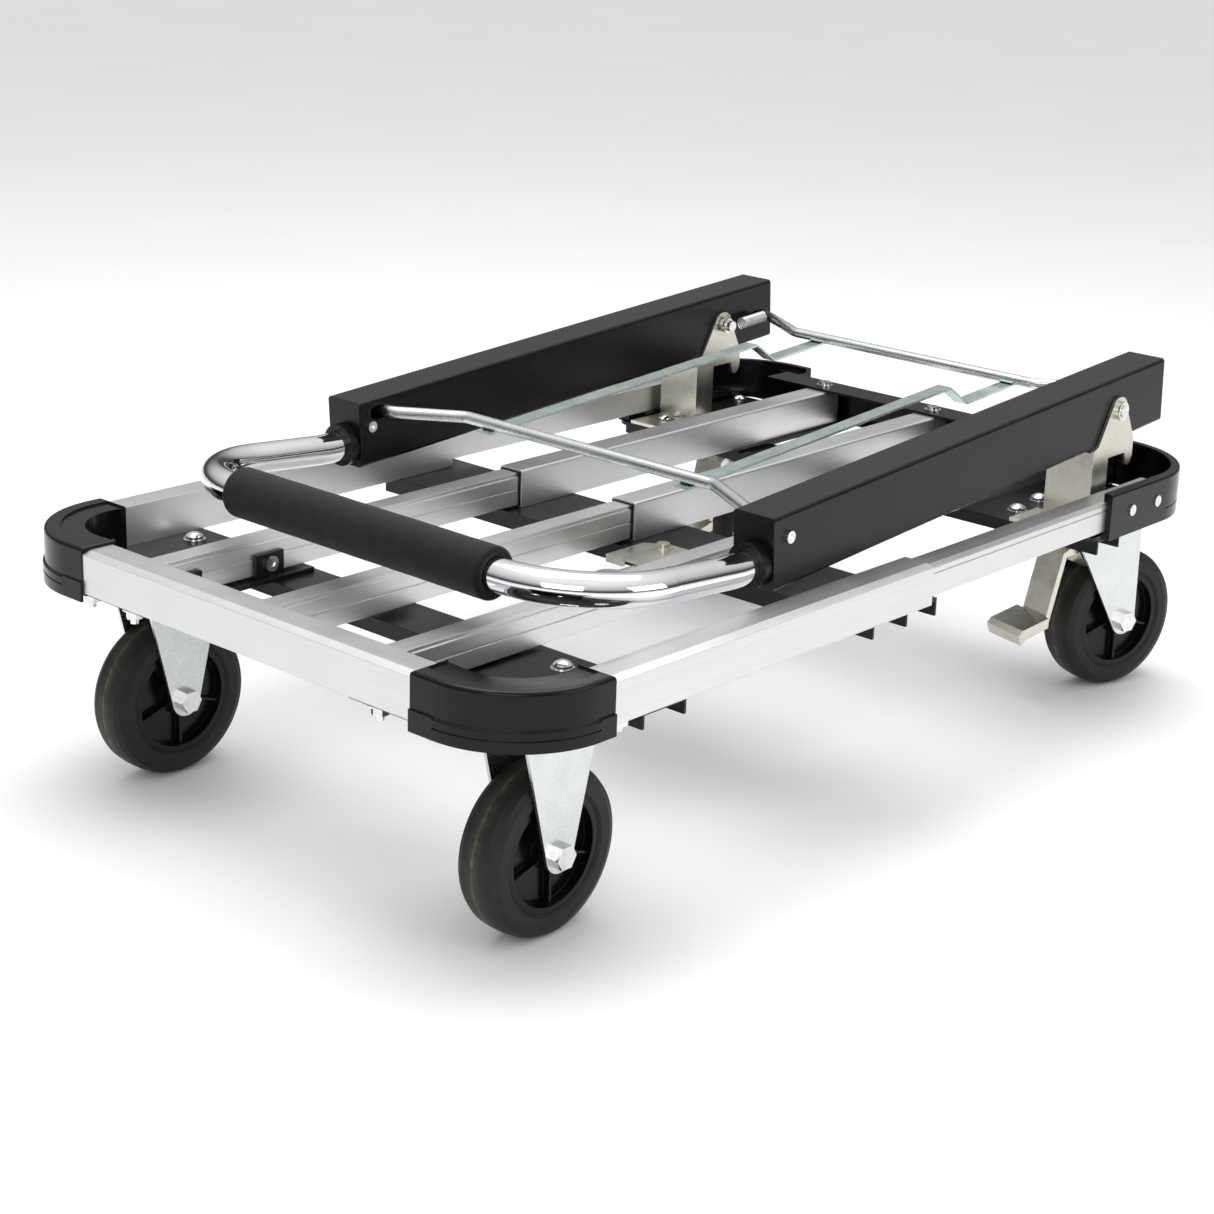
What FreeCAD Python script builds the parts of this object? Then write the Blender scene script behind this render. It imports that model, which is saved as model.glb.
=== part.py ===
# Folding platform cart: extending aluminium deck, four 125 mm casters, folding telescopic handle.
# Frame: +X towards the hinge end of the deck, +Z up, millimetres, origin under the middle of the cart.
# "left" is the -Y side and "right" the +Y side, as seen by someone pushing from the hinge end.
import math
import os

import FreeCAD
import Part

os.makedirs("parts", exist_ok=True)
V = FreeCAD.Vector

# ---- deck ----
X_FRONT = -443.2        # outer face of the front crossbar
X_JOINT = 2.0           # rear ends of the front side rails
X_REAR_CAP = 252.0      # front end of the rear corner caps
X_REAR = 424.0          # rear face of the rear corner caps
Y_OUT = 270.3           # outer faces of the front side rails
RAIL_W = 27.0
Z_BOT = 172.0
Z_TOP = 204.0
MID_Y = (-126.0, 0.0, 126.0)
TUBE_W = 25.0           # mid tubes of the rear section
MID_W = 20.0            # mid rails of the front section
X_TUBE = -45.0          # front ends of the mid tubes
WALL = 1.8
# ---- casters ----
WHEEL_R = 62.5
WHEEL_W = 36.0
WHEEL_Y = 199.0
X_FRONT_AXLE = -348.3
X_REAR_AXLE = 377.0
X_KING = 345.0
TOE = -16.0             # how far the left swivel caster is turned at rest, degrees
AXLE_R = 5.0
RUN = 0.05              # radial clearance of running fits
CENTRE = 3.0            # final shift of every part, which puts the origin under the middle of the cart
# ---- handle ----
TILT = 3.83             # slope of the folded handle, degrees
COL_O = V(-147.2, 0, 207.1)
COL_L = 536.6
COL_H = 55.5
COL_Y0 = 197.7
COL_Y1 = 234.8
COL_YC = 0.5 * (COL_Y0 + COL_Y1)
PIN_S = 461.4
PIN_H = 27.0
PIN_R = 5.0
TUBE_H = 18.0           # height of the handle tube's axis in the column
TUBE_R = 12.5
TUBE_IN = 400.0         # length of the handle tube inside the column
KICK_S = 22.0           # where the tube kicks up, ahead of the column
KICK = 8.4
KICK_L = 157.0
BEND_R = 82.0
GRIP_R = 19.5
GRIP_HALF = 134.0       # the grip covers the straight part of the handle tube


def box(x0, x1, y0, y1, z0, z1):
    return Part.makeBox(x1 - x0, y1 - y0, z1 - z0, V(x0, y0, z0))


def cyl(r, p, d, h):
    return Part.makeCylinder(r, h, V(*p), V(*d))


def poly(points, vec):
    wire = Part.makePolygon([V(*p) for p in points] + [V(*points[0])])
    return Part.Face(wire).extrude(V(*vec))


def ext_x(yz, x0, x1):
    return poly([(x0, y, z) for y, z in yz], (x1 - x0, 0, 0))


def ext_y(xz, y0, y1):
    return poly([(x, y0, z) for x, z in xz], (0, y1 - y0, 0))


def fuse(shapes):
    out = shapes[0]
    for s in shapes[1:]:
        out = out.fuse(s)
    return out.removeSplitter()


def mirror(shape):
    return shape.mirror(V(0, 0, 0), V(0, 1, 0))


def hexagon(af, p, d, h):
    r = af / math.sqrt(3)
    pts = [(r * math.cos(math.radians(60 * k)), r * math.sin(math.radians(60 * k)), 0) for k in range(6)]
    prism = poly(pts, (0, 0, h))
    prism.Placement = FreeCAD.Placement(V(*p), FreeCAD.Rotation(V(0, 0, 1), V(*d)))
    return prism


def soften(shape, r, pick):
    edges = [e for e in shape.Edges if pick(e)]
    return shape.makeFillet(r, edges) if edges else shape


def export(name, *shapes):
    shape = shapes[0].copy() if len(shapes) == 1 else Part.makeCompound([s.copy() for s in shapes])
    shape.translate(V(CENTRE, 0, 0))
    shape.exportStep("parts/%s.step" % name)


def both(name, right):
    export(name + "_right", right)
    export(name + "_left", mirror(right))


# ================= front section =================
def front_rail():
    yi = Y_OUT - RAIL_W
    outer = [(yi, Z_BOT), (Y_OUT, Z_BOT), (Y_OUT, 202), (263, Z_TOP), (yi, Z_TOP)]
    inner = [(yi + WALL, Z_BOT + WALL), (Y_OUT - 1.7, Z_BOT + WALL), (Y_OUT - 1.7, 200.8),
             (262.8, 202.2), (yi + WALL, 202.2)]
    return outer, inner


outer, inner = front_rail()
rail = ext_x(outer, -368.4, X_JOINT).cut(ext_x(inner, -370, X_JOINT + 1))
both("front_side_rail", rail)

# the crossbar has the same section, turned to the front
bar_out = [(X_FRONT, Z_BOT), (X_FRONT, 202), (X_FRONT + 7.3, Z_TOP), (X_FRONT + RAIL_W, Z_TOP), (X_FRONT + RAIL_W, Z_BOT)]
bar_in = [(X_FRONT + WALL, Z_BOT + WALL), (X_FRONT + WALL, 200.8), (X_FRONT + 7.5, 202.2),
          (X_FRONT + RAIL_W - WALL, 202.2), (X_FRONT + RAIL_W - WALL, Z_BOT + WALL)]
bar = ext_y(bar_out, -195.5, 195.5).cut(ext_y(bar_in, -197, 197))
export("front_crossbar", bar)


def mid_rail(yc):
    h = MID_W / 2
    z0, z1 = 174.4, 201.6
    prof = [(-h, z0), (h, z0), (h, z1 - 3), (h - 1.2, z1 - 3), (h - 1.2, z1), (-h + 1.2, z1), (-h + 1.2, z1 - 3),
            (-h, z1 - 3)]
    s = ext_x([(yc + y, z) for y, z in prof], X_FRONT + RAIL_W, 65)
    s = s.cut(box(X_FRONT, 66, yc - h + 2.6, yc + h - 2.6, z0 + 1.8, z1 - 1.8))
    for y0 in (yc - h, yc + h - 0.5):
        s = s.cut(box(X_FRONT, 66, y0, y0 + 0.5, 187.5, 188.3))
    return s


for name, yc in zip(("left", "centre", "right"), MID_Y):
    export("front_mid_rail_" + name, mid_rail(yc))

# front corner cap: hollow quarter ring with a lower skirt band and tabs over the rails
CAP_R = 77.0
CAP_X = -445.5 + CAP_R
CAP_Y = 272.6 - CAP_R


def turned(shape):
    """the left swivel caster's parts, turned about its king pin"""
    out = shape.copy()
    out.rotate(V(X_KING, -WHEEL_Y, 0), V(0, 0, 1), TOE)
    return out


def both_turned(name, right):
    export(name + "_right", right)
    export(name + "_left", turned(mirror(right)))


def quarter(r, z0, z1, cx, cy, sx):
    c = cyl(r, (cx, cy, z0), (0, 0, 1), z1 - z0)
    x0, x1 = (cx - r - 1, cx) if sx < 0 else (cx, cx + r + 1)
    return c.common(box(x0, x1, cy, cy + r + 1, z0 - 1, z1 + 1))


def front_cap():
    z0, z1, zg = 165.5, 207.0, 181.0
    xt, yt = -354.0, 173.7
    upper = CAP_R - 1.5
    body = fuse([quarter(upper, zg - 1, z1, CAP_X, CAP_Y, -1),
                 box(CAP_X, xt, CAP_Y + 44, CAP_Y + upper, zg - 1, z1),
                 box(CAP_X - upper, CAP_X - 44, yt, CAP_Y, zg - 1, z1)])
    rim = (CAP_X - upper + 1.5, CAP_Y + upper - 1.5)
    body = soften(body, 3.2, lambda e: e.BoundBox.ZMin > z1 - 0.01
                  and (e.BoundBox.XMin < rim[0] or e.BoundBox.YMax > rim[1]) and e.Length > 12)
    body = fuse([body, quarter(CAP_R, z0, zg, CAP_X, CAP_Y, -1), box(CAP_X, xt, CAP_Y + 44, CAP_Y + CAP_R, z0, zg),
                 box(CAP_X - CAP_R, CAP_X - 44, yt, CAP_Y, z0, zg)])
    step = fuse([quarter(63, 205.5, z1 + 1, CAP_X, CAP_Y, -1), box(CAP_X, xt - 3, CAP_Y, CAP_Y + 63, 205.5, z1 + 1),
                 box(CAP_X - 63, CAP_X, yt + 3, CAP_Y, 205.5, z1 + 1)])
    body = body.cut(step)
    body = body.cut(cyl(45, (CAP_X, CAP_Y, z0 - 1), (0, 0, 1), 60))
    ring = quarter(CAP_R - 2.6, z0 - 1, 204.3, CAP_X, CAP_Y, -1).cut(cyl(47.4, (CAP_X, CAP_Y, z0 - 1), (0, 0, 1), 60))
    body = body.cut(ring)
    body = body.cut(box(CAP_X - 0.01, xt + 1, 243.0, Y_OUT + 0.1, z0 - 1, Z_TOP + 0.3))
    body = body.cut(box(X_FRONT - 0.1, X_FRONT + RAIL_W + 0.3, yt - 1, CAP_Y + 0.01, z0 - 1, Z_TOP + 0.3))
    # the inner wall and its ends stop above the mounting plate
    body = body.cut(box(X_FRONT + 24, xt + 1, yt - 1, 246.5, z0 - 1, 172.3))
    for z in (zg - 7.5, zg - 1.2):
        groove = cyl(CAP_R + 1, (CAP_X, CAP_Y, z), (0, 0, 1), 1.2).cut(cyl(CAP_R - 0.9, (CAP_X, CAP_Y, z), (0, 0, 1), 1.2))
        body = body.cut(groove.common(box(-600, CAP_X, CAP_Y, 400, 100, 300)))
    return body


both("front_corner_cap", front_cap())
FRONT_BOLTS = [(X_FRONT_AXLE + dx, WHEEL_Y + dy) for dx in (-40, 47) for dy in (-24, 24)]


def caster_plate(x0, x1, corner_front):
    plate = box(x0, x1, 109, 262, 168.5, Z_BOT)
    if corner_front:
        keep = fuse([box(CAP_X, x1 + 1, 100, 265, 160, 180), box(x0 - 1, x1 + 1, 100, CAP_Y, 160, 180),
                     cyl(CAP_R - 5, (CAP_X, CAP_Y, 160), (0, 0, 1), 20)])
        plate = plate.common(keep)
    return plate


def front_plate():
    p = caster_plate(-438, -277, True)
    tabs = [box(x, x + 27, 112.6, 115.4, Z_BOT - 0.5, 191) for x in (-331, -409)]
    p = fuse([p] + tabs)
    for x in (-317.5, -395.5):
        p = p.cut(cyl(2.6, (x, 110, 183), (0, 1, 0), 8))
    for x, y in FRONT_BOLTS:
        p = p.cut(cyl(4.2, (x, y, 160), (0, 0, 1), 20))
    return p


both("front_caster_plate", front_plate())


def channel(x0, x1, y_end, z0, z1, ribs=()):
    t = 2.4
    parts = [box(x0, x1, -y_end, y_end, z1 - t, z1)]
    for x in (x0, x1 - t) + tuple(ribs):
        parts.append(box(x, x + t, -y_end, y_end, z0, z1))
    return fuse(parts)


cc1 = channel(-317, -272, 262, 156.5, 168.5)
for s in (-1, 1):
    cc1 = cc1.cut(box(-320, -290, s * WHEEL_Y - 37, s * WHEEL_Y + 37, 150, 169))
export("front_cross_channel", cc1)


def bolt(x, y, z_head, z_nut, r=4.0, head_r=7.0):
    """dome-headed bolt on top, washer and nut below; vertical"""
    shaft = cyl(r, (x, y, z_nut - 9), (0, 0, 1), z_head - z_nut + 10)
    washer = cyl(head_r + 1.7, (x, y, z_head), (0, 0, 1), 1.3)
    dome = Part.makeSphere(9.2, V(x, y, z_head - 2.2)).common(cyl(head_r, (x, y, z_head + 1.2), (0, 0, 1), 6))
    under = cyl(head_r + 1.5, (x, y, z_nut - 1.2), (0, 0, 1), 1.2)
    nut = hexagon(13, (x, y, z_nut - 7.5), (0, 0, 1), 6.4)
    return fuse([shaft, washer, dome, under, nut])


bolts = []
for s in (-1, 1):
    for x, y in FRONT_BOLTS:
        bolts.append(bolt(x, s * y, 172.0, 165.0))
    for x in (-317.5, -395.5):
        head = cyl(6.0, (x, s * 112.6, 183), (0, -s, 0), 3.2).cut(hexagon(5, (x, s * 110.5, 183), (0, -s, 0), 3))
        bolts.append(fuse([head, cyl(2.5, (x, s * 112.6, 183), (0, s, 0), 5.4)]))
    for x, y in ((-430, 181.5), (-430, 131), (-329, 252)):
        bolts.append(fuse([cyl(8.5, (x, s * y, 167.3), (0, 0, 1), 1.2), hexagon(11, (x, s * y, 161), (0, 0, 1), 6.4),
                           cyl(3.0, (x, s * y, 157), (0, 0, 1), 11)]))
export("front_bolts", *bolts)


def leg(top, xa, y0, y1, r=13.0, z_top=165.0):
    """tapered fork leg down to a round end on the axle"""
    xl, xr = top
    pts = []
    for x, sgn in ((xl, -1), (xr, 1)):
        dx, dz = x - xa, z_top - WHEEL_R
        d = math.hypot(dx, dz)
        a = math.atan2(dz, dx) - sgn * math.acos(r / d)
        if sgn < 0:
            a = math.atan2(dz, dx) + math.acos(r / d)
        pts.append((xa + r * math.cos(a), WHEEL_R + r * math.sin(a)))
    body = ext_y([(xl, z_top), pts[0], (xa, WHEEL_R), pts[1], (xr, z_top)], y0, y1)
    return fuse([body, cyl(r, (xa, y0, WHEEL_R), (0, 1, 0), y1 - y0)])


def front_fork():
    xa, yc = X_FRONT_AXLE, WHEEL_Y
    top = (xa - 39, xa + 39)
    f = fuse([leg(top, xa, yc + 19.3, yc + 21.9, z_top=166), leg(top, xa, yc - 21.9, yc - 19.3, z_top=166),
              box(xa - 52, xa + 57.5, yc - 36, yc + 36, 165, 168.5)])
    for x, y in FRONT_BOLTS:
        f = f.cut(cyl(4.2, (x, y, 160), (0, 0, 1), 12)).cut(cyl(8.9, (x, y, 150), (0, 0, 1), 15))
    return f.cut(cyl(AXLE_R, (xa, yc - 30, WHEEL_R), (0, 1, 0), 60))


both("front_fork", front_fork())


def axle(xa, s):
    yc = s * WHEEL_Y
    a = cyl(AXLE_R, (xa, yc - s * 29, WHEEL_R), (0, s, 0), 55)
    head = hexagon(16, (xa, yc + s * 21.9, WHEEL_R), (0, s, 0), 6.5)
    nut = hexagon(16, (xa, yc - s * 21.9, WHEEL_R), (0, -s, 0), 7)
    return fuse([a, head, nut])


export("front_axles", axle(X_FRONT_AXLE, -1), axle(X_FRONT_AXLE, 1))


# ================= wheels =================
def revolve_y(pts, xa, yc):
    face = Part.Face(Part.makePolygon([V(xa + r, yc + y, WHEEL_R) for r, y in pts + [pts[0]]]))
    return face.revolve(V(xa, yc, WHEEL_R), V(0, 1, 0), 360)


def tyre(xa, yc):
    w = WHEEL_W / 2
    pts = [(44, -w + 2), (46, -w), (54, -w), (59.5, -w + 2.5), (61.7, -w + 7), (62.5, -w + 14), (62.5, w - 14),
           (61.7, w - 7), (59.5, w - 2.5), (54, w), (46, w), (44, w - 2)]
    return revolve_y(pts, xa, yc)


def hub(xa, yc):
    rim = revolve_y([(39, -16), (44, -16), (44, 16), (39, 16)], xa, yc)
    web = revolve_y([(AXLE_R + RUN, -8), (40, -8), (40, 8), (AXLE_R + RUN, 8)], xa, yc)
    barrel = revolve_y([(AXLE_R + RUN, -18.9), (12, -18.9), (14, -12), (14, 12), (12, 18.9), (AXLE_R + RUN, 18.9)], xa, yc)
    ribs = []
    for k in range(5):
        rib = Part.makeBox(27.5, 27, 2.2, V(12.5, -13.5, -1.1))
        rib.rotate(V(0, 0, 0), V(0, 1, 0), 72 * k + 90)
        rib.translate(V(xa, yc, WHEEL_R))
        ribs.append(rib)
    return fuse([rim, web, barrel] + ribs)


for end, xa in (("front", X_FRONT_AXLE), ("rear", X_REAR_AXLE)):
    for side, s in (("left", -1), ("right", 1)):
        for part, shape in (("tyre", tyre(xa, s * WHEEL_Y)), ("hub", hub(xa, s * WHEEL_Y))):
            if (end, side) == ("rear", "left"):
                shape = turned(shape)
            export("%s_%s_%s" % (end, part, side), shape)

# ================= rear section =================
rear = ext_x([(243.3 + 2.1, 178), (268.3, 178), (268.3, 200.4), (262.5, 201.9), (245.4, 201.9)], -120, 345)
rear = rear.cut(ext_x([(247.2, 179.8), (266.5, 179.8), (266.5, 198.9), (262.2, 200.1), (247.2, 200.1)], -121, 346))
rear = rear.cut(box(-121, 346, 267.8, 269, 195.6, 196.5))
both("rear_side_rail", rear)

for name, yc in zip(("left", "centre", "right"), MID_Y):
    h = TUBE_W / 2
    tube = box(X_TUBE, 392, yc - h, yc + h, Z_BOT, Z_TOP)
    tube = soften(tube, 2.0, lambda e: abs(e.Length - (392 - X_TUBE)) < 0.1 and e.BoundBox.ZMin > 200)
    tube = tube.cut(box(X_TUBE - 1, 393, yc - h + 1.6, yc + h - 1.6, 173.3, 202.4))
    export("rear_mid_tube_" + name, tube)


def liner(yc):
    ho, hi = 10.9, 10.3
    s = box(X_TUBE - 1.5, X_TUBE + 40, yc - ho, yc + ho, 173.3, 202.4)
    return s.cut(box(X_TUBE - 3, X_TUBE + 41, yc - hi, yc + hi, 174.0, 201.9))


export("mid_tube_liners", *[liner(y) for y in MID_Y])

bar = fuse([box(372, 404, -186, 186, Z_TOP, 206.5), box(401.5, 404, -186, 186, 172, 206.5),
            box(392, 404, -186, 186, 172, 174.5)])
export("rear_crossbar", soften(bar, 1.2, lambda e: e.BoundBox.ZMin > 206 and e.BoundBox.XMin > 403 and e.Length > 300))


def rear_cap():
    r, t = 84.0, 8.0
    cx, cy = X_REAR - r, 273.0 - r
    z0, z1 = 170.5, 210.0
    wall = quarter(r, z0, z1, cx, cy, 1).cut(cyl(r - t, (cx, cy, z0 - 1), (0, 0, 1), 60))
    side = box(X_REAR_CAP, cx, 265.0, 273.0, z0, z1)
    back = box(X_REAR - t, X_REAR, 172, cy, z0, z1)
    wall = fuse([wall, side, back])
    wall = soften(wall, 2.6, lambda e: e.BoundBox.ZMin > z1 - 0.01
                  and (e.BoundBox.YMax > 272.9 or e.BoundBox.XMax > X_REAR - 0.1) and e.Length > 12)
    # floor that carries the rail end, and the inner arm beside the crossbar
    floor = fuse([quarter(r - 2, z0, 177.6, cx, cy, 1), box(X_REAR_CAP + 6, cx, 243.0, 268.0, 172.4, 177.6)])
    floor = floor.cut(box(200, 500, 0, 240, 160, 180))
    arm = box(404.3, X_REAR - 1, 172, 196, z0, 206)
    cap = fuse([wall, floor, arm])
    cap = cap.cut(box(200, 345.3, 245.1, 268.6, 177.7, 202.2))
    cap = cap.cut(box(200, 411, 100, 262.3, 160, 172.2))
    for x in (285, 326):
        cap = cap.cut(cyl(3.0, (x, 250, 191), (0, 1, 0), 30))
    groove = cyl(r + 1, (cx, cy, 181), (0, 0, 1), 1.0).cut(cyl(r - 0.6, (cx, cy, 181), (0, 0, 1), 1.0))
    return cap.cut(groove.common(box(cx, 500, cy, 300, 150, 220)))


both("rear_corner_cap", rear_cap())


def rear_plate():
    p = caster_plate(236, 402, False)
    p = soften(p, 16, lambda e: abs(e.Length - 3.5) < 0.01 and e.BoundBox.YMin > 200 and e.BoundBox.XMin < 300)
    lip = box(240, 258, 247, 260, 171, 177.9)
    p = fuse([p, lip])
    corner = fuse([cyl(75.5, (X_REAR - 84, 189, 150), (0, 0, 1), 40), box(200, X_REAR - 84, 100, 265, 150, 190),
                   box(200, 410, 100, 189, 150, 190)])
    p = p.common(corner)
    for x, y in REAR_BOLTS:
        p = p.cut(cyl(4.2, (x, y, 160), (0, 0, 1), 20))
    return p


REAR_BOLTS = [(265, 175), (265, 223), (307, 170), (307, 228), (383, 170), (383, 228)]
both("rear_caster_plate", rear_plate())
export("centre_cross_channel", channel(-61, 21, 262, 157.5, 171.7, ribs=(-19,)))
cc3 = channel(253, 289, 262, 155.5, 168.5)
for y in (-223, -175, 175, 223):
    cc3 = cc3.cut(cyl(4.2, (265, y, 150), (0, 0, 1), 30))
export("rear_cross_channel", cc3)


def swivel_plate():
    p = fuse([box(298, 392, WHEEL_Y - 40, WHEEL_Y + 40, 165, 168.5), cyl(27, (X_KING, WHEEL_Y, 158.2), (0, 0, 1), 7),
              cyl(6, (X_KING, WHEEL_Y, 147), (0, 0, 1), 15), hexagon(16, (X_KING, WHEEL_Y, 143), (0, 0, 1), 6.8)])
    for x, y in REAR_BOLTS[2:]:
        p = p.cut(cyl(4.2, (x, y, 160), (0, 0, 1), 12))
    return p


both("swivel_plate", swivel_plate())
bolts = []
for s in (-1, 1):
    for k, (x, y) in enumerate(REAR_BOLTS):
        bolts.append(bolt(x, s * y, 172.0, 166.1 if k < 2 else 165.0))
    for x in (285, 326):
        bolts.append(fuse([cyl(3.0, (x, s * 262, 191), (0, s, 0), 11.5), cyl(4.8, (x, s * 273.0, 191), (0, s, 0), 1.6)]))
for y in MID_Y:
    bolts.append(fuse([cyl(8.0, (386, y, 206.5), (0, 0, 1), 1.2), cyl(5.5, (386, y, 206.5), (0, 0, 1), 4.0),
                       cyl(2.5, (386, y, 202.5), (0, 0, 1), 5)]))
export("rear_bolts", *bolts)


def swivel_fork():
    xa, yc = X_REAR_AXLE, WHEEL_Y
    top = (X_KING - 35, xa + 11)
    f = fuse([leg(top, xa, yc + 19.3, yc + 21.9, z_top=153), leg(top, xa, yc - 21.9, yc - 19.3, z_top=153),
              box(top[0], top[1], yc - 21.9, yc + 21.9, 150.4, 153), cyl(27, (X_KING, yc, 150.4), (0, 0, 1), 7.5)])
    f = f.cut(cyl(6 + RUN, (X_KING, yc, 140), (0, 0, 1), 30))
    f = f.cut(cyl(3 + RUN, (BRAKE_X, yc - 30, BRAKE_Z), (0, 1, 0), 60))
    return f.cut(cyl(AXLE_R, (xa, yc - 30, WHEEL_R), (0, 1, 0), 60))


BRAKE_X, BRAKE_Z = 328.0, 136.0
both_turned("swivel_fork", swivel_fork())
export("rear_axle_left", turned(axle(X_REAR_AXLE, -1)))
export("rear_axle_right", axle(X_REAR_AXLE, 1))


def brake():
    """pedal arm on a pin between the fork legs, with a shoe that points at the tyre"""
    yc, bx, bz = WHEEL_Y, BRAKE_X, BRAKE_Z
    up = [(5, 4.5), (-6, 5), (-23, -4), (-31, -34), (-37, -59), (-67, -66)]
    low = [(-66, -71), (-33, -64.5), (-26, -36), (-19, -8), (-4, -5), (5, -4)]
    tip = [(-39, -58.5), (-68, -65.5), (-72, -70), (-69, -79), (-64, -74.5), (-39, -67.5)]
    arm = ext_y([(bx + x, bz + z) for x, z in up + low], yc - 15, yc + 15)
    pad = ext_y([(bx + x, bz + z) for x, z in tip], yc - 21, yc + 21)
    shoe = ext_y([(bx + 4.2, bz + 2.8), (bx - 4.2, bz - 2.8), (bx + 8, bz - 21.1), (bx + 16.4, bz - 15.5)], yc - 12, yc + 12)
    return fuse([arm, pad, shoe, cyl(3, (bx, yc - 24, bz), (0, 1, 0), 48)])


both_turned("brake_pedal", brake())


# ================= hinge brackets =================
def col(s, y, h):
    a = math.radians(TILT)
    return (COL_O.x + s * math.cos(a) - h * math.sin(a), y, COL_O.z + s * math.sin(a) + h * math.cos(a))


PIN = col(PIN_S, 0, PIN_H)


def ear(y0, y1):
    px, pz = PIN[0], PIN[2]
    r = 12.0
    pts = [(275, 172), (275, 235.2), (282, 238)]
    for a in range(160, -1, -20):
        pts.append((px + r * math.cos(math.radians(a)), pz + r * math.sin(math.radians(a))))
    pts += [(338, 237), (338, 221), (335.5, 216), (331.5, 214.2), (328, 216), (325, 226), (299, 226), (299, 172)]
    return ext_y(pts, y0, y1)


def bracket():
    web = box(275, 278, 194.2, 238.3, 172, 233.5)
    b = fuse([web, ear(194.2, 197.2), ear(235.3, 238.3), box(236, 278, 186, 241, 172, 175)])
    b = b.cut(cyl(PIN_R, (PIN[0], 180, PIN[2]), (0, 1, 0), 70))
    return b.cut(cyl(9.4, (265, 223, 171), (0, 0, 1), 10)).cut(cyl(9.4, (265, 175, 171), (0, 0, 1), 10))


both("hinge_bracket", bracket())
pins = []
for s in (-1, 1):
    shaft = cyl(PIN_R, (PIN[0], s * 183, PIN[2]), (0, s, 0), 60)
    head = cyl(8.0, (PIN[0], s * 238.3, PIN[2]), (0, s, 0), 3.6)
    tip = cyl(7.0, (PIN[0], s * 188, PIN[2]), (0, s, 0), 4.0)
    pins.append(fuse([shaft, head, tip]))
export("hinge_pins", *pins)

# ================= extension latch =================
lb = poly([(-92, -72, 173), (-92, -27, 173), (-50, -27, 173), (-38, -45, 173), (-38, -66, 173), (-48, -72, 173)], (0, 0, 2.5))
lb = fuse([lb, box(-94.5, -92, -45, -27, 169.2, 175.5), box(-58, -42, -56, -40, 171.7, 173.5)])
screw = fuse([cyl(2.6, (-50, -48, 172), (0, 0, 1), 5), cyl(7.5, (-50, -48, 175.5), (0, 0, 1), 1.2), cyl(5.2, (-50, -48, 175.5), (0, 0, 1), 4.6)])
lb = lb.cut(cyl(2.6, (-50, -48, 170), (0, 0, 1), 8)).fuse(screw)
rivet = cyl(3.0, (-83, -60, 169.0), (0, 0, 1), 4.5)
export("latch_bracket", fuse([lb, rivet]))
lever = fuse([box(-122, -83, -66, -54, 170.0, 172.2), cyl(7, (-83, -60, 170.0), (0, 0, 1), 2.2),
              cyl(12, (-122, -56, 170.0), (0, 0, 1), 2.2)])
lever = lever.cut(cyl(3 + RUN, (-83, -60, 160), (0, 0, 1), 20))
export("latch_lever", lever)

# ================= handle =================
TURN = FreeCAD.Placement(COL_O, FreeCAD.Rotation(V(0, 1, 0), -TILT))


def put(shape):
    """move a shape drawn in column axes (x along the column, z across it) into place"""
    out = shape.copy()
    out.Placement = TURN.multiply(out.Placement)
    return out


def column():
    b = box(0, COL_L, COL_Y0, COL_Y1, 0, COL_H)
    b = soften(b, 3.0, lambda e: e.Length > 500)
    inside = soften(box(3, COL_L - 2, COL_Y0 + 1.8, COL_Y1 - 1.8, 1.8, COL_H - 1.8), 1.5, lambda e: e.Length > 500)
    b = b.cut(inside)
    b = b.cut(cyl(16.3, (-1, COL_YC, TUBE_H), (1, 0, 0), 6))
    b = b.cut(cyl(PIN_R + RUN, (PIN_S, 190, PIN_H), (0, 1, 0), 50))
    for s0, h, r, y1 in ((FROD_S, FROD_H, 5.6, 205), (RROD_S, RROD_H, 5.4, 205)):
        b = b.cut(box(s0 - PULL, s0, 190, y1, h - r, h + r))
        for x in (s0, s0 - PULL):
            b = b.cut(cyl(r, (x, 190, h), (0, 1, 0), y1 - 190))
    for x, h, y in SCREWS:
        b = b.cut(cyl(2.5, (x, y - 3, h), (0, 1, 0), 6))
    return b


FROD_S, FROD_H, FROD_R = 29.0, 43.5, 5.0
RROD_S, RROD_H, RROD_R = 522.0, 24.0, 4.5
PULL = 11.0
SCREWS = ((12.0, 33.5, COL_Y0), (16.5, 38.0, COL_Y1))
both("handle_column", put(column()))


def bushing():
    b = fuse([cyl(17.5, (-8, COL_YC, TUBE_H), (1, 0, 0), 8), cyl(16.2, (0, COL_YC, TUBE_H), (1, 0, 0), 42)])
    return put(b.cut(cyl(TUBE_R + 0.08, (-10, COL_YC, TUBE_H), (1, 0, 0), 60)))


export("column_bushings", bushing(), mirror(bushing()))
screws = []
for s in (-1, 1):
    for (x, h, y), d in zip(SCREWS, (-1, 1)):
        sc = fuse([cyl(4.6, (x, s * y, h), (0, s * d, 0), 2.8), cyl(2.5, (x, s * y, h), (0, -s * d, 0), 1.7)])
        screws.append(put(sc.cut(hexagon(4.5, (x, s * (y + 1.0 * d), h), (0, s * d, 0), 3))))
export("column_screws", *screws)


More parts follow.
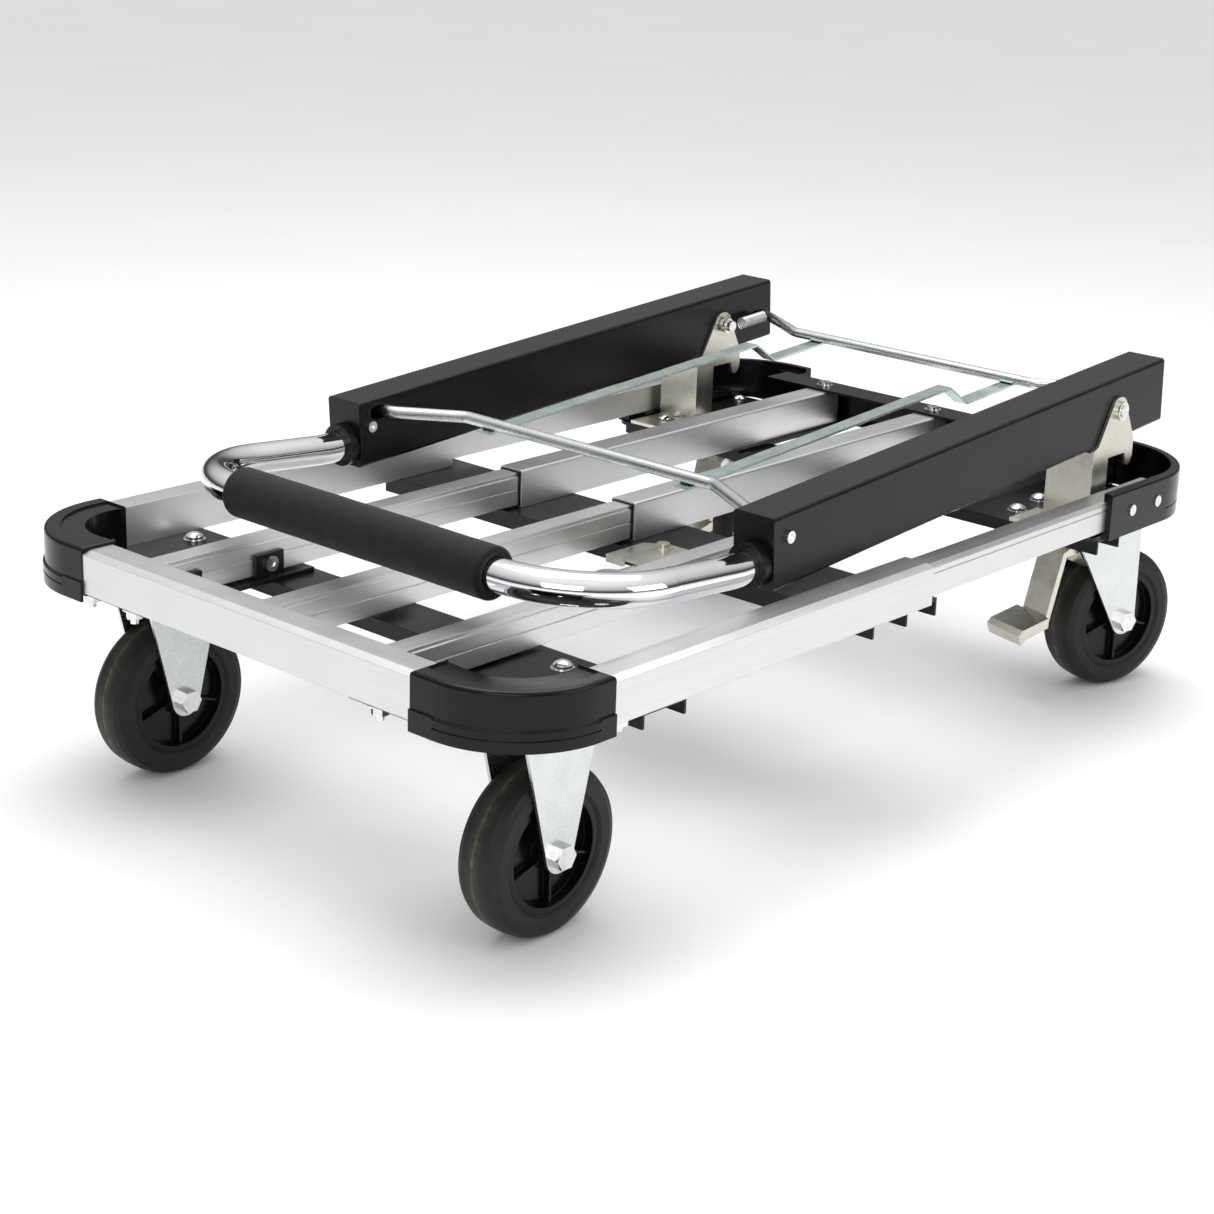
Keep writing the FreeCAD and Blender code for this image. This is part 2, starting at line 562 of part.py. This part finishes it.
def sweep(points, radius, bend):
    """round bar along a polyline whose corners are bent to a radius"""
    pts = [V(*p) for p in points]
    edges = []
    start = pts[0]
    for i in range(1, len(pts) - 1):
        a, p, b = pts[i - 1], pts[i], pts[i + 1]
        u = (a - p).normalize()
        w = (b - p).normalize()
        half = 0.5 * u.getAngle(w)
        r = bend[i - 1]
        t = r / math.tan(half)
        m = (u + w).normalize()
        t0 = p + u * t
        t1 = p + w * t
        c = p + m * (r / math.sin(half))
        mid = c + (p - c).normalize() * r
        if (t0 - start).Length > 1e-6:
            edges.append(Part.makeLine(start, t0))
        edges.append(Part.Arc(t0, mid, t1).toShape())
        start = t1
    edges.append(Part.makeLine(start, pts[-1]))
    path = Part.Wire(edges)
    d = (pts[1] - pts[0]).normalize()
    profile = Part.Wire(Part.makeCircle(radius, pts[0], d))
    return path.makePipeShell([profile], True, False)


def u_points():
    k = math.radians(KICK)
    s1 = -KICK_S - KICK_L * math.cos(k)
    h1 = TUBE_H + KICK_L * math.sin(k)
    return [(TUBE_IN, -COL_YC, TUBE_H), (-KICK_S, -COL_YC, TUBE_H), (s1, -COL_YC, h1), (s1, COL_YC, h1),
            (-KICK_S, COL_YC, TUBE_H), (TUBE_IN, COL_YC, TUBE_H)], s1, h1


pts, S_GRIP, H_GRIP = u_points()
bends = [110, BEND_R, BEND_R, 110]
tube = sweep(pts, TUBE_R, bends).cut(sweep(pts, TUBE_R - 1.5, bends))
export("handle_tube", put(tube))
grip = cyl(GRIP_R, (S_GRIP, -GRIP_HALF, H_GRIP), (0, 1, 0), 2 * GRIP_HALF)
grip = soften(grip, 2.5, lambda e: True)
export("foam_grip", put(grip.cut(cyl(TUBE_R, (S_GRIP, -200, H_GRIP), (0, 1, 0), 400))))


def rod(s_end, s_mid, h, r):
    p = [(s_end, -226, h), (s_end, -188, h), (s_mid, -132, h), (s_mid, 132, h), (s_end, 188, h), (s_end, 226, h)]
    return put(sweep(p, r, [16, 16, 16, 16]))


FMID, RMID = 58.0, 492.0
export("release_rod_front", rod(FROD_S, FMID, FROD_H, FROD_R))
export("release_rod_rear", rod(RROD_S, RMID, RROD_H, RROD_R))


def strip():
    t = 2.0
    h1 = FROD_H - FROD_R - 0.02
    h2 = RROD_H - RROD_R - 0.02
    up = [(50, h1), (395, h1), (420, h2), (500, h2)]
    prof = up + [(s, h - t) for s, h in reversed(up)]
    return put(ext_y(prof, 99, 112.5))


export("release_strips", strip(), mirror(strip()))


def spring():
    """closed-wound spring between the hinge pin and the rear rod, with a hook at each end"""
    s0, s1, r, wire = PIN_S + 17, RROD_S - 11.5, 5.0, 0.85
    y = 186.5
    coil = Part.makeHelix((s1 - s0) / 11.0, s1 - s0, r)
    prof = Part.Wire(Part.makeCircle(wire, V(r, 0, 0), V(0, 1, 0)))
    c = Part.Wire(coil.Edges).makePipeShell([prof], True, True)
    c.Placement = FreeCAD.Placement(V(s0, y, PIN_H - 1), FreeCAD.Rotation(V(0, 0, 1), V(1, 0, 0)))
    return put(c)


export("release_springs", spring(), mirror(spring()))
print("PIN", PIN, "grip", col(S_GRIP, 0, H_GRIP))
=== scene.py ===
"""Looks, light and camera for the folding platform cart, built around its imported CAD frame. Metres, +Z up."""

import math

import bmesh
import bpy
from mathutils import Matrix, Vector


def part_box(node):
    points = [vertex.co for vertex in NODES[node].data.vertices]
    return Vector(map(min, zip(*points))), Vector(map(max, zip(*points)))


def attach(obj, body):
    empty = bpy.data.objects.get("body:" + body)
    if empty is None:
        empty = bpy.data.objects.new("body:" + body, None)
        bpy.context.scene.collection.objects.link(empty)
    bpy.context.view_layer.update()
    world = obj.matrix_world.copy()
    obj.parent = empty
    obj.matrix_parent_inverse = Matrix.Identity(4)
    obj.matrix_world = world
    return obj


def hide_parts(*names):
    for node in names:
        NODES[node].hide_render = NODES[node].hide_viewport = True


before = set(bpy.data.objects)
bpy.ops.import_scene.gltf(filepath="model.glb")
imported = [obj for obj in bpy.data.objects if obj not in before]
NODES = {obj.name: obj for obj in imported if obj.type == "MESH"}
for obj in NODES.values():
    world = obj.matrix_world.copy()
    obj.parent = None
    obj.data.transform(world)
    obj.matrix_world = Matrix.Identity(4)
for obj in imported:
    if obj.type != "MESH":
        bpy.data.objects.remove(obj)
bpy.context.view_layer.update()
WHEEL_Y = 0.199                     # from the middle of the cart to the middle of a tyre
TOE = math.radians(-16.0)           # angle of the left swivel caster at rest
KING_LEFT = (0.348, -WHEEL_Y, 0.0)  # axis of the left king pin
SKIN_MARGIN = 0.00012               # room for the uneven skin of the foam inside the CAD grip's radius
SKIN_RADIUS = 0.0150                # beyond this radius the foam sleeve is outer skin
FLOOR_Z = -0.0002                   # just under the tyres


# ---------------- node helpers ----------------
class Surface:
    """One procedural material, with short calls for the nodes it needs."""

    def __init__(self, name, **sockets):
        self.mat = bpy.data.materials.new(name)
        self.mat.use_nodes = True
        self.tree = self.mat.node_tree
        self.bsdf = next(n for n in self.tree.nodes if n.type == "BSDF_PRINCIPLED")
        self.set(**sockets)
        self.where = self.tree.nodes.new("ShaderNodeTexCoord").outputs["Object"]

    def set(self, **sockets):
        for key, value in sockets.items():
            self.bsdf.inputs[key.replace("_", " ")].default_value = value

    def link(self, a, b):
        self.tree.links.new(a, b)

    def stretched(self, scale):
        node = self.tree.nodes.new("ShaderNodeMapping")
        node.inputs["Scale"].default_value = scale
        self.link(self.where, node.inputs["Vector"])
        return node.outputs["Vector"]

    def noise(self, scale, detail=3.0, roughness=0.55, vector=None):
        node = self.tree.nodes.new("ShaderNodeTexNoise")
        node.inputs["Scale"].default_value = scale
        node.inputs["Detail"].default_value = detail
        node.inputs["Roughness"].default_value = roughness
        self.link(vector or self.where, node.inputs["Vector"])
        return node.outputs["Fac"]

    def voronoi(self, scale):
        node = self.tree.nodes.new("ShaderNodeTexVoronoi")
        node.inputs["Scale"].default_value = scale
        self.link(self.where, node.inputs["Vector"])
        return node.outputs["Distance"]

    def rotated(self, angle, pivot):
        """object coordinates turned about a vertical line, so that a turned wheel reads as a straight one"""
        node = self.tree.nodes.new("ShaderNodeVectorRotate")
        node.rotation_type = "Z_AXIS"
        node.inputs["Center"].default_value = pivot
        node.inputs["Angle"].default_value = angle
        self.link(self.where, node.inputs["Vector"])
        return node.outputs["Vector"]

    def spread(self, value, low, high, from_low=0.3, from_high=0.7):
        node = self.tree.nodes.new("ShaderNodeMapRange")
        for key, number in zip(("From Min", "From Max", "To Min", "To Max"), (from_low, from_high, low, high)):
            node.inputs[key].default_value = number
        self.link(value, node.inputs["Value"])
        return node.outputs["Result"]

    def maths(self, kind, a, b=None):
        node = self.tree.nodes.new("ShaderNodeMath")
        node.operation = kind
        for socket, value in zip(node.inputs, (a, b)):
            if isinstance(value, (int, float)):
                socket.default_value = value
            elif value is not None:
                self.link(value, socket)
        return node.outputs[0]

    def mix(self, factor, a, b):
        node = self.tree.nodes.new("ShaderNodeMix")
        node.data_type = "RGBA"
        self.link(factor, node.inputs["Factor"])
        for socket, value in ((node.inputs[6], a), (node.inputs[7], b)):
            if isinstance(value, tuple):
                socket.default_value = value + (1.0,)
            else:
                self.link(value, socket)
        return node.outputs[2]

    def axis(self, index, vector=None):
        node = self.tree.nodes.new("ShaderNodeSeparateXYZ")
        self.link(vector or self.where, node.inputs[0])
        return node.outputs[index]

    def colour(self, value):
        self.link(value, self.bsdf.inputs["Base Color"])

    def rough(self, value):
        self.link(value, self.bsdf.inputs["Roughness"])

    def bumps(self, *layers, edge=0.0):
        """layers are (height, strength, distance in metres); edge rounds sharp corners by that radius"""
        last = None
        if edge:
            node = self.tree.nodes.new("ShaderNodeBevel")
            node.samples = 6
            node.inputs["Radius"].default_value = edge
            last = node.outputs["Normal"]
        for height, strength, distance in layers:
            node = self.tree.nodes.new("ShaderNodeBump")
            node.inputs["Strength"].default_value = strength
            node.inputs["Distance"].default_value = distance
            self.link(height, node.inputs["Height"])
            if last is not None:
                self.link(last, node.inputs["Normal"])
            last = node.outputs["Normal"]
        self.link(last, self.bsdf.inputs["Normal"])
        return self.mat


# ---------------- materials ----------------
def aluminium(name, scale):
    """satin anodised extrusion: fine die lines along the bar, faint cloudiness"""
    s = Surface(name, Metallic=1.0)
    lines = s.noise(1.0, 2.0, 0.6, s.stretched(scale))
    cloud = s.noise(22.0, 3.0)
    s.colour(s.mix(s.spread(lines, 0.0, 1.0), (0.66, 0.67, 0.68), (0.74, 0.745, 0.75)))
    s.rough(s.spread(s.maths("ADD", s.maths("MULTIPLY", lines, 0.5), s.maths("MULTIPLY", cloud, 0.5)), 0.34, 0.44))
    return s.bumps((lines, 0.12, 0.00005), edge=0.0007)


def enamel(name, colour, roughness, grain, depth):
    """powder coat or moulded black plastic with a fine grain"""
    s = Surface(name, Specular_IOR_Level=0.25)
    fine = s.noise(grain, 2.0)
    cloud = s.noise(9.0, 4.0)
    bright = tuple(c * 1.5 + 0.001 for c in colour)
    s.colour(s.mix(s.spread(cloud, 0.0, 1.0), colour, bright))
    s.rough(s.spread(s.maths("ADD", s.maths("MULTIPLY", fine, 0.4), s.maths("MULTIPLY", cloud, 0.6)),
                     roughness - 0.05, roughness + 0.08))
    return s.bumps((fine, 0.25, depth), edge=0.0009)


def plated(name, dark, light, roughness, cloud_scale=60.0, edge=0.0004):
    """zinc plate: cloudy tint, light rolling marks and small scuffs"""
    s = Surface(name, Metallic=1.0)
    cloud = s.noise(cloud_scale, 5.0, 0.6)
    scuffs = s.noise(1.0, 3.0, 0.6, s.stretched((90.0, 700.0, 260.0)))
    s.colour(s.mix(s.spread(cloud, 0.0, 1.0), dark, light))
    s.rough(s.spread(s.maths("ADD", s.maths("MULTIPLY", cloud, 0.5), s.maths("MULTIPLY", scuffs, 0.5)),
                     roughness - 0.04, roughness + 0.06))
    return s.bumps((scuffs, 0.10, 0.00004), edge=edge)


def chrome():
    s = Surface("chrome_plate", Metallic=1.0)
    smear = s.noise(35.0, 4.0)
    s.colour(s.mix(s.spread(smear, 0.0, 1.0), (0.80, 0.81, 0.83), (0.88, 0.88, 0.89)))
    s.rough(s.spread(smear, 0.035, 0.085))
    return s.bumps((s.noise(14.0, 2.0), 0.05, 0.0004))


def tyre_rubber(name, turn=0.0):
    """dark rubber, with the paler mould line round the middle of the tread; turn is the caster's own angle"""
    s = Surface(name, Specular_IOR_Level=0.28)
    straight = s.rotated(-turn, KING_LEFT)
    off = s.maths("SUBTRACT", s.maths("ABSOLUTE", s.axis(1, straight)), WHEEL_Y)
    wobble = s.maths("MULTIPLY", s.maths("SUBTRACT", s.noise(160.0, 3.0), 0.5), 0.0022)
    away = s.maths("ABSOLUTE", s.maths("ADD", off, wobble))
    line = s.spread(away, 1.0, 0.0, 0.0006, 0.0018)
    haze = s.spread(away, 0.35, 0.0, 0.002, 0.008)
    patches = s.spread(s.noise(110.0, 4.0, 0.7), 0.15, 1.0, 0.35, 0.62)
    flash = s.maths("MULTIPLY", s.maths("MAXIMUM", line, haze), patches)
    dust = s.noise(70.0, 6.0, 0.65)
    base = s.mix(s.spread(dust, 0.0, 1.0), (0.008, 0.008, 0.008), (0.019, 0.019, 0.018))
    s.colour(s.mix(flash, base, (0.105, 0.10, 0.066)))
    s.rough(s.spread(dust, 0.42, 0.62))
    return s.bumps((s.noise(900.0, 3.0), 0.3, 0.00012), (line, 0.5, 0.0004))


def foam():
    """closed-cell foam: dull black skin with fine open pores"""
    s = Surface("grip_foam", Sheen_Weight=0.12, Sheen_Roughness=0.5, Specular_IOR_Level=0.2)
    pores = s.voronoi(1500.0)
    cloud = s.noise(120.0, 4.0)
    s.colour(s.mix(s.spread(cloud, 0.0, 1.0), (0.0045, 0.0045, 0.0045), (0.010, 0.010, 0.010)))
    s.rough(s.spread(pores, 0.86, 0.68, 0.0, 0.6))
    return s.bumps((cloud, 0.25, 0.0005), (pores, 0.55, 0.00025))


ALU_X = aluminium("aluminium_along_x", (2.0, 1300.0, 1300.0))
ALU_Y = aluminium("aluminium_along_y", (1300.0, 2.0, 1300.0))
PAINT = enamel("black_powder_coat", (0.0021, 0.0021, 0.00228), 0.24, 1400.0, 0.00005)
PLATE = enamel("black_painted_plate", (0.0036, 0.0036, 0.00378), 0.30, 900.0, 0.00008)
CAP = enamel("black_moulded_cap", (0.0018, 0.0018, 0.00192), 0.18, 2200.0, 0.00005)
HUB = enamel("black_moulded_hub", (0.0024, 0.0024, 0.00252), 0.21, 1600.0, 0.00006)
COLLAR = enamel("black_bushing", (0.003, 0.003, 0.003), 0.28, 1800.0, 0.00006)
ZINC = plated("bright_zinc_plate", (0.62, 0.635, 0.64), (0.70, 0.715, 0.72), 0.27)
ZINC_WARM = plated("warm_zinc_plate", (0.60, 0.585, 0.51), (0.68, 0.665, 0.59), 0.28)
ZINC_BLUE = plated("pale_zinc_strip", (0.50, 0.60, 0.57), (0.66, 0.75, 0.72), 0.26)
SCREW = plated("bright_fastener", (0.62, 0.62, 0.61), (0.84, 0.84, 0.83), 0.17, 200.0, 0.0)
CHROME = chrome()
RUBBER = tyre_rubber("tyre_rubber")
RUBBER_TURNED = tyre_rubber("tyre_rubber_turned", TOE)
FOAM = foam()

# the first key found in a node name gives its material
LOOKS = (
    ("front_crossbar", ALU_Y), ("rear_crossbar", PAINT), ("side_rail", ALU_X), ("mid_rail", ALU_X),
    ("mid_tube_liners", COLLAR), ("mid_tube", ALU_X), ("corner_cap", CAP), ("caster_plate", PLATE),
    ("cross_channel", PLATE), ("bolts", SCREW), ("fork", ZINC), ("swivel_plate", ZINC), ("axle", SCREW),
    ("rear_tyre_left", RUBBER_TURNED), ("tyre", RUBBER), ("hub", HUB), ("hinge_bracket", ZINC_WARM),
    ("hinge_pins", SCREW),
    ("latch", ZINC_WARM), ("brake_pedal", ZINC_WARM), ("handle_column", PAINT), ("column_bushings", COLLAR),
    ("column_screws", SCREW), ("handle_tube", CHROME), ("foam_grip", FOAM), ("release_rod", ZINC),
    ("release_strips", ZINC_BLUE), ("release_springs", SCREW),
)
for node_name, obj in NODES.items():
    look = next(m for key, m in LOOKS if key in node_name)
    for place in obj.material_slots:
        place.material = look
    if not obj.material_slots:
        obj.data.materials.append(look)


# ---------------- foam grip ----------------
def lathe_y(name, profile, centre, segments, wave=0.0):
    """closed ring of quads about a line along Y; profile is a closed loop of (y, radius)"""
    mesh = bpy.data.meshes.new(name)
    bm = bmesh.new()
    rings = []
    for y, r in profile:
        ring = []
        for k in range(segments):
            a = 2 * math.pi * k / segments
            rr = r
            if r > SKIN_RADIUS:
                rr += wave * (math.sin(y * 160 + 2 * a) + math.sin(y * 71 - a) + 0.6 * math.sin(y * 420 + 3 * a))
            ring.append(bm.verts.new((centre[0] + rr * math.cos(a), centre[1] + y, centre[2] + rr * math.sin(a))))
        rings.append(ring)
    for i, ring in enumerate(rings):
        after = rings[(i + 1) % len(rings)]
        for k in range(segments):
            face = bm.faces.new((ring[k], ring[(k + 1) % segments], after[(k + 1) % segments], after[k]))
            face.smooth = True
    bmesh.ops.recalc_face_normals(bm, faces=bm.faces)
    bm.to_mesh(mesh)
    bm.free()
    obj = bpy.data.objects.new(name, mesh)
    bpy.context.scene.collection.objects.link(obj)
    return obj


def grip():
    """sleeve with rounded ends in place of the CAD grip, just clear of the tube inside it"""
    low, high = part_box("foam_grip")
    centre = (low + high) / 2
    half = (high.y - low.y) / 2
    r_out = (high.z - low.z) / 2 - SKIN_MARGIN
    r_in = 0.01262
    lip = 0.0032
    face, bore, mouth = half - 0.0003, half - 0.0012, r_in + 0.0006
    steps = 72
    outside = [(-half + lip + (2 * half - 2 * lip) * k / steps, r_out) for k in range(steps + 1)]
    end = [(half - lip + lip * math.sin(a), r_out - lip + lip * math.cos(a))
           for a in (math.radians(15 * k) for k in range(1, 7))]
    inside = [(face, mouth), (bore, r_in), (-bore, r_in), (-face, mouth)]
    profile = outside + end + inside + [(-y, r) for y, r in reversed(end)]
    obj = lathe_y("foam_grip_sleeve", profile, centre, 72, 0.00004)
    obj.data.materials.append(FOAM)
    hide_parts("foam_grip")
    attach(obj, "telescope")


grip()


# ---------------- floor, light, camera ----------------
def floor():
    mesh = bpy.data.meshes.new("studio_floor")
    size = 60.0
    corners = [(x * size, y * size, FLOOR_Z) for x, y in ((-1, -1), (1, -1), (1, 1), (-1, 1))]
    mesh.from_pydata(corners, [], [(0, 1, 2, 3)])
    obj = bpy.data.objects.new("studio_floor", mesh)
    bpy.context.scene.collection.objects.link(obj)
    s = Surface("floor_white", Roughness=0.7, Specular_IOR_Level=0.2)
    s.colour(s.mix(s.spread(s.noise(3.0), 0.0, 1.0), (0.90, 0.90, 0.90), (0.92, 0.92, 0.92)))
    obj.data.materials.append(s.mat)


def softbox(name, place, aim, size, power):
    data = bpy.data.lights.new(name, "AREA")
    data.shape = "RECTANGLE"
    data.size, data.size_y = size
    data.energy = power
    obj = bpy.data.objects.new(name, data)
    obj.location = place
    obj.rotation_euler = (Vector(aim) - Vector(place)).to_track_quat("-Z", "Y").to_euler()
    bpy.context.scene.collection.objects.link(obj)


def surroundings():
    """white overhead, dark near the horizon, so that chrome and zinc show dark bands"""
    world = bpy.data.worlds.new("studio")
    bpy.context.scene.world = world
    world.use_nodes = True
    tree = world.node_tree
    back = next(n for n in tree.nodes if n.type == "BACKGROUND")
    place = tree.nodes.new("ShaderNodeTexCoord")
    split = tree.nodes.new("ShaderNodeSeparateXYZ")
    ramp = tree.nodes.new("ShaderNodeValToRGB")
    tree.links.new(place.outputs["Generated"], split.inputs[0])
    tree.links.new(split.outputs[2], ramp.inputs[0])
    tree.links.new(ramp.outputs[0], back.inputs[0])
    stops = ramp.color_ramp.elements
    stops[0].position, stops[0].color = 0.0, (0.06, 0.06, 0.062, 1)
    stops[1].position, stops[1].color = 0.85, (1.0, 1.0, 1.0, 1)
    for position, grey in ((0.14, 0.08), (0.36, 0.55)):
        stops.new(position).color = (grey, grey, grey, 1)
    back.inputs[1].default_value = 1.0
    bpy.context.scene.view_settings.view_transform = "Standard"


def camera():
    azimuth, elevation, roll = math.radians(-49.18), math.radians(17.70), math.radians(2.17)
    distance, target = 1.98302, Vector((-0.01841, 0.0, 0.150))
    back = Vector((math.sin(azimuth) * math.cos(elevation), -math.cos(azimuth) * math.cos(elevation),
                   math.sin(elevation)))
    right = Vector((math.cos(azimuth), math.sin(azimuth), 0.0))
    up = back.cross(right)
    x_axis = math.cos(roll) * right + math.sin(roll) * up
    y_axis = -math.sin(roll) * right + math.cos(roll) * up
    data = bpy.data.cameras.new("camera")
    data.sensor_width, data.lens = 36.0, 72.02
    data.shift_x, data.shift_y = -0.0277, -0.0405
    data.clip_start, data.clip_end = 0.05, 200.0
    obj = bpy.data.objects.new("camera", data)
    turn = Matrix((x_axis, y_axis, back)).transposed().to_4x4()
    obj.matrix_world = Matrix.Translation(target + back * distance) @ turn
    bpy.context.scene.collection.objects.link(obj)
    bpy.context.scene.camera = obj


floor()
surroundings()
softbox("top_light", (0.1, 0.2, 2.3), (0, 0, 0.2), (2.4, 1.6), 40)
softbox("front_light", (-2.6, -1.6, 1.3), (0, 0, 0.15), (1.8, 1.4), 16)
softbox("side_light", (0.7, -2.8, 1.1), (0, 0, 0.15), (1.8, 1.2), 14)
camera()
